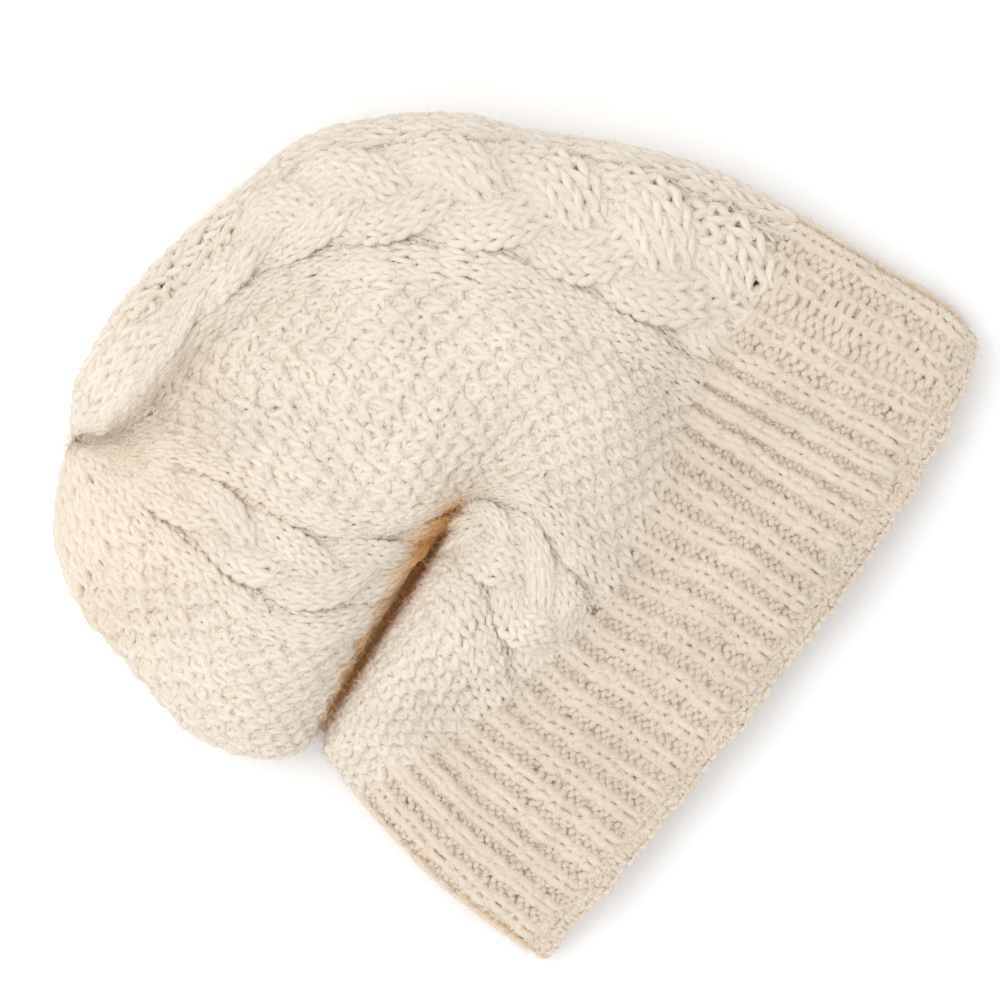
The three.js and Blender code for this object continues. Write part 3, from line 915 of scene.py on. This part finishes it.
def wall(name, start, end, drop, rise, closed_tip):
    """A felted wall under the outside face, from one course to another."""
    courses = np.arange(start, end + 0.01, WALL_COURSE)
    stitches = np.arange(0, STITCHES, WALL_STITCH)
    r, s = np.meshgrid(courses, stitches, indexing="ij")
    pulled = pulled_in(s, r)
    normal = looked_up(normal_grid, pulled, r)
    dice = np.random.default_rng(len(courses))
    holes = (dice.uniform(0, 1, r.shape) < HOLE_SHARE) * (np.abs(r - BRIM_END) > HOLE_FREE)
    felted = np.clip(rise(s, r), *FELTED_RISE) + swelling(pulled, r) - HOLE_DEPTH * holes
    height = felted * relief_share(normal, pulled, r) - drop
    outer = looked_up(outside_grid, pulled, r) + height[..., None] * normal
    outer[:, :, 2] = np.maximum(outer[:, :, 2], WALL_LOWEST)
    inner = looked_up(lining_grid, pulled, r)
    vertices = np.concatenate([outer.reshape(-1, 3), inner.reshape(-1, 3)])
    made = add_mesh(name, vertices, wall_faces(len(courses), len(stitches), closed_tip))
    crease = crease_depth(s, r, outer[:, :, 2]).ravel()
    set_attribute(made, "crease", np.concatenate([crease, crease * 0]))
    # painted shade, darkest in the holes
    painted_shade = WALL_SHADE + (1 - WALL_SHADE) * holes.ravel()
    set_attribute(made, "depth", np.concatenate([painted_shade, np.full(r.size, INSIDE_SHADE)]))
    return made


brim_wall = wall("brim_wall", BRIM_WALL_START, BRIM_END, BRIM_DROP, rib_rise, False)
body_wall = wall("body_wall", BRIM_END, CROWN - 1, BODY_DROP, body_rise, True)
print("wall faces:", len(brim_wall.data.polygons), len(body_wall.data.polygons))

# %% [markdown]
# ## Loose fibres
# Wool yarn is hairy: fibres stand out all over it and make a soft halo. A particle system grows hair, but
# its strands aren't a mesh that can be exported. So thin ribbons, each bent once, grow from random points
# of the yarn that shows.

# %% Scatter fibres
BODY_FIBRES = 36000
RIB_FIBRES = 13000
FIBRE_LENGTH = (2.0, 5.5)
FIBRE_WIDTH = 0.16
FIBRE_RISE = (0.05, 0.9)
FIBRE_BEND = (-0.7, 0.7)
HALF_LENGTH = 0.45
TIP_ALONG = 0.8
TIP_RISE = 0.2
LEAST_UP = -0.1
FIBRE_POINTS = 5
# share of the crease's painted warm shade that the fibres in it get
FIBRE_CREASE_SHADE = 0.9


def scatter_fibres(name, pieces, count, seed):
    """Bent ribbons of two faces each, growing from the skin of the yarn."""
    dice = np.random.default_rng(seed)
    skins = [yarn_skin[piece] for piece in pieces]
    points, outwards, creases = [np.concatenate(part) for part in zip(*skins)]
    showing = np.flatnonzero(outwards[:, 2] > LEAST_UP)
    picked = dice.choice(showing, count)
    base = points[picked]
    outward = outwards[picked]
    way = unit(np.cross(outward, dice.normal(0, 1, (count, 3))))
    rise = dice.uniform(*FIBRE_RISE, (count, 1))
    bent = np.cross(way, outward) * dice.uniform(*FIBRE_BEND, (count, 1))
    length = dice.uniform(*FIBRE_LENGTH, (count, 1))
    middle = base + length * HALF_LENGTH * (way + rise * outward)
    tip = middle + length * HALF_LENGTH * (way * TIP_ALONG + bent + rise * TIP_RISE * outward)
    side = np.cross(way, outward) * FIBRE_WIDTH / 2
    vertices = np.stack([base - side, base + side, middle - side, middle + side, tip], axis=1)
    vertices[..., 2] = np.maximum(vertices[..., 2], TABLE_GAP)
    first = (np.arange(count) * FIBRE_POINTS)[:, None]
    made = add_mesh(name, vertices.reshape(-1, 3), [first + [0, 1, 3, 2], first + [2, 3, 4]])
    set_attribute(made, "depth", np.zeros(count * FIBRE_POINTS))
    set_attribute(made, "crease", np.repeat(creases[picked] * FIBRE_CREASE_SHADE, FIBRE_POINTS))
    return made


shown = [piece.name for piece in body_pieces if "back" not in piece.name and piece.name != "underside"]
body_pieces.append(scatter_fibres("body_fibres", shown, BODY_FIBRES, seed=60))
rib_pieces.append(scatter_fibres("rib_fibres", ["rib_front", "cast_on_loops"], RIB_FIBRES, seed=61))
print("fibres:", BODY_FIBRES + RIB_FIBRES)

# %% [markdown]
# ## Wool
# Wool scatters light between its fibres, so it looks soft and has no highlight, and light from deep between
# the loops comes back warmer. Subsurface light would blur the small loops, so each point carries how deep
# it lies between the loops and in the crease, and the colour goes from cream to a darker warm brown: the
# shade there and the warmer light are painted into the colour. Twisted yarns and fine fibres give the bump.
# Both wools need this, so it is a node group.

# %% The node group's sockets
CREASE_COLOUR = (0.7, 0.35, 0.07, 1)
TWIST = 0.5


def new_group(name, inputs, outputs):
    """An empty shader node group with named sockets."""
    made = bpy.data.node_groups.new(name, "ShaderNodeTree")
    for label, kind, value in inputs:
        socket = made.interface.new_socket(name=label, in_out="INPUT", socket_type=kind)
        socket.default_value = value
    for label, kind in outputs:
        made.interface.new_socket(name=label, in_out="OUTPUT", socket_type=kind)
    return made


# the second colour is the painted shade between the loops
group = new_group("wool_yarn",
                  [("Cream", "NodeSocketColor", (0.8, 0.7, 0.55, 1)),
                   ("Deep shade", "NodeSocketColor", (0.5, 0.33, 0.17, 1)),
                   ("Crease", "NodeSocketColor", CREASE_COLOUR),
                   ("Twist", "NodeSocketFloat", TWIST)],
                  [("Color", "NodeSocketColor"), ("Normal", "NodeSocketVector")])
nodes, links = group.nodes, group.links
group_in = nodes.new("NodeGroupInput")
group_out = nodes.new("NodeGroupOutput")
print("group:", group.name)


# %% Helpers for its nodes
def add_node(kind, values):
    """A node with some of its inputs set."""
    node = nodes.new(kind)
    for socket, value in values.items():
        node.inputs[socket].default_value = value
    return node


def attribute_share(name):
    """The number that a point carries."""
    node = nodes.new("ShaderNodeAttribute")
    node.attribute_name = name
    return node.outputs["Fac"]


def mixed(blend_type, first, second):
    """A node that mixes two colours."""
    node = nodes.new("ShaderNodeMix")
    node.data_type = "RGBA"
    node.blend_type = blend_type
    links.new(first, node.inputs["A"])
    links.new(second, node.inputs["B"])
    return node


print("helpers: add_node, attribute_share, mixed")


# %% Colour: faint patches, painted shade between the loops, painted warm shade in the crease
place = nodes.new("ShaderNodeTexCoord")
patches = add_node("ShaderNodeTexNoise", {"Scale": 40, "Detail": 3})
links.new(place.outputs["Object"], patches.inputs["Vector"])
patch_range = {"From Min": 0.3, "From Max": 0.7, "To Min": 0.94, "To Max": 1.04}
patch_value = add_node("ShaderNodeMapRange", patch_range)
links.new(patches.outputs["Fac"], patch_value.inputs["Value"])
tinted = mixed("MULTIPLY", group_in.outputs["Cream"], patch_value.outputs["Result"])
tinted.inputs["Factor"].default_value = 1
# painted shade between the loops, by the depth attribute
shaded = mixed("MIX", tinted.outputs["Result"], group_in.outputs["Deep shade"])
links.new(attribute_share("depth"), shaded.inputs["Factor"])
creased = mixed("MIX", shaded.outputs["Result"], group_in.outputs["Crease"])
links.new(attribute_share("crease"), creased.inputs["Factor"])
links.new(creased.outputs["Result"], group_out.inputs["Color"])
print("nodes for the colour:", len(nodes))

# %% Bump: twisted yarns, then fine fibres
yarn_uv = nodes.new("ShaderNodeUVMap")
yarn_uv.uv_map = "yarn"
twist = add_node("ShaderNodeTexWave", {"Scale": 0.8, "Distortion": 1.5})
twist.bands_direction = "DIAGONAL"
links.new(yarn_uv.outputs["UV"], twist.inputs["Vector"])
twist_bump = add_node("ShaderNodeBump", {"Distance": 0.0003})
links.new(group_in.outputs["Twist"], twist_bump.inputs["Strength"])
links.new(twist.outputs["Fac"], twist_bump.inputs["Height"])
fibres = add_node("ShaderNodeTexNoise", {"Scale": 1500, "Detail": 4})
links.new(place.outputs["Object"], fibres.inputs["Vector"])
fibre_bump = add_node("ShaderNodeBump", {"Strength": 0.7, "Distance": 0.0006})
links.new(fibres.outputs["Fac"], fibre_bump.inputs["Height"])
links.new(twist_bump.outputs["Normal"], fibre_bump.inputs["Normal"])
links.new(fibre_bump.outputs["Normal"], group_out.inputs["Normal"])
print("nodes with the bump:", len(nodes))


# %% Two wools from the group
def wool(name, cream, deep_shade):
    """A soft material without highlights, coloured by the group."""
    material = bpy.data.materials.new(name)
    material.use_nodes = True
    shader = material.node_tree.nodes["Principled BSDF"]
    shader.inputs["Roughness"].default_value = 0.95
    shader.inputs["Specular IOR Level"].default_value = 0.1
    shader.inputs["Sheen Weight"].default_value = 0.6
    shader.inputs["Sheen Roughness"].default_value = 0.5
    shader.inputs["Sheen Tint"].default_value = (1, 0.95, 0.86, 1)
    effect = material.node_tree.nodes.new("ShaderNodeGroup")
    effect.node_tree = group
    effect.inputs["Cream"].default_value = cream
    effect.inputs["Deep shade"].default_value = deep_shade
    effect.inputs["Crease"].default_value = CREASE_COLOUR
    effect.inputs["Twist"].default_value = TWIST
    material.node_tree.links.new(effect.outputs["Color"], shader.inputs["Base Color"])
    material.node_tree.links.new(effect.outputs["Normal"], shader.inputs["Normal"])
    return material


# the second colour of each wool is the painted shade between its loops
body_wool = wool("body_wool", (0.81, 0.73, 0.625, 1), (0.77, 0.52, 0.28, 1))
# the same yarn as the body, painted a little darker as shade for the close ribs
rib_wool = wool("rib_wool", (0.765, 0.665, 0.545, 1), (0.74, 0.51, 0.29, 1))
print("wools:", body_wool.name, rib_wool.name)

# %% [markdown]
# ## Which solid each piece stands for
# The yarn and the fibres lie on the walls, so the walls replace the CAD nodes, and all pieces ride the one
# body of the cap. The brim is the same yarn, but it has its own wool, painted a little darker than the
# body's: painted shade for its close ribs.

# %% Give the pieces their wool and their body
for piece in [*body_pieces, body_wall]:
    piece.data.materials.append(body_wool)
    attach(piece, "root")
for piece in [*rib_pieces, brim_wall]:
    piece.data.materials.append(rib_wool)
    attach(piece, "root")
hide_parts("cast_on_edge", "ribbed_brim")
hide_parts("cable_body", "crown")
pieces = [*body_pieces, *rib_pieces, brim_wall, body_wall]
for piece in pieces:
    piece.data.calc_loop_triangles()
print("pieces:", len(pieces), "triangles in all:", sum(len(piece.data.loop_triangles) for piece in pieces))

# %% [markdown]
# ## Table, light and camera
# The cap lies on a white table that fills the picture, so a large plane is enough. A white world gives most
# of the light. Shadows between the stitches need a direction, so a large lamp shines from the crown's side
# and a weaker one from the fold's. The camera looks straight down, turned so that the hem runs down to the
# right.

# %% Table
bpy.ops.mesh.primitive_plane_add(size=6, location=(0, 0, -0.0002))
floor = bpy.context.object
floor.name = "floor"
paper = bpy.data.materials.new("white_table")
paper.use_nodes = True
paper_shader = paper.node_tree.nodes["Principled BSDF"]
paper_shader.inputs["Base Color"].default_value = (0.93, 0.93, 0.93, 1)
paper_shader.inputs["Roughness"].default_value = 0.9
floor.data.materials.append(paper)
print("table in m:", [round(v, 2) for v in floor.dimensions])

# %% Light
LAMP_SIZE = 0.9
LAMP_TARGET = Vector((0, 0, 0.02))
# the name of a lamp, its place in mm and its power in watts
LAMPS = (("softbox", (-780, -250, 1250), 5.4), ("fill_light", (-100, -900, 800), 1.8))
world = bpy.data.worlds.new("studio")
bpy.context.scene.world = world
world.use_nodes = True
world.node_tree.nodes["Background"].inputs["Color"].default_value = (1, 1, 1, 1)
world.node_tree.nodes["Background"].inputs["Strength"].default_value = 1.0
for name, place_mm, watts in LAMPS:
    bpy.ops.object.light_add(type="AREA", location=[v * MM for v in place_mm])
    lamp = bpy.context.object
    lamp.name = name
    lamp.data.shape = "SQUARE"
    lamp.data.size = LAMP_SIZE
    lamp.data.energy = watts
    lamp.rotation_euler = (LAMP_TARGET - lamp.location).to_track_quat("-Z", "Y").to_euler()
    print(name, "is", round((LAMP_TARGET - lamp.location).length, 2), "m from the cap")

# %% Camera
VIEW_TURN = math.radians(34.9)
VIEW_CENTRE = (0.0153, -0.0087)
VIEW_WIDTH = 0.316
VIEW_DISTANCE = 1.2
CAP_MIDDLE = 0.015
SENSOR = 36
camera_data = bpy.data.cameras.new("camera")
camera = bpy.data.objects.new("camera", camera_data)
bpy.context.scene.collection.objects.link(camera)
camera_data.sensor_width = SENSOR
camera_data.lens = SENSOR * VIEW_DISTANCE / VIEW_WIDTH
camera.location = (*VIEW_CENTRE, VIEW_DISTANCE + CAP_MIDDLE)
right = Vector((math.cos(VIEW_TURN), math.sin(VIEW_TURN), 0))
up = Vector((-math.sin(VIEW_TURN), math.cos(VIEW_TURN), 0))
camera.rotation_euler = Matrix((right, up, (0, 0, 1))).transposed().to_euler()
bpy.context.scene.camera = camera
bpy.context.scene.view_settings.view_transform = "Standard"
print("lens in mm:", round(camera_data.lens, 1))
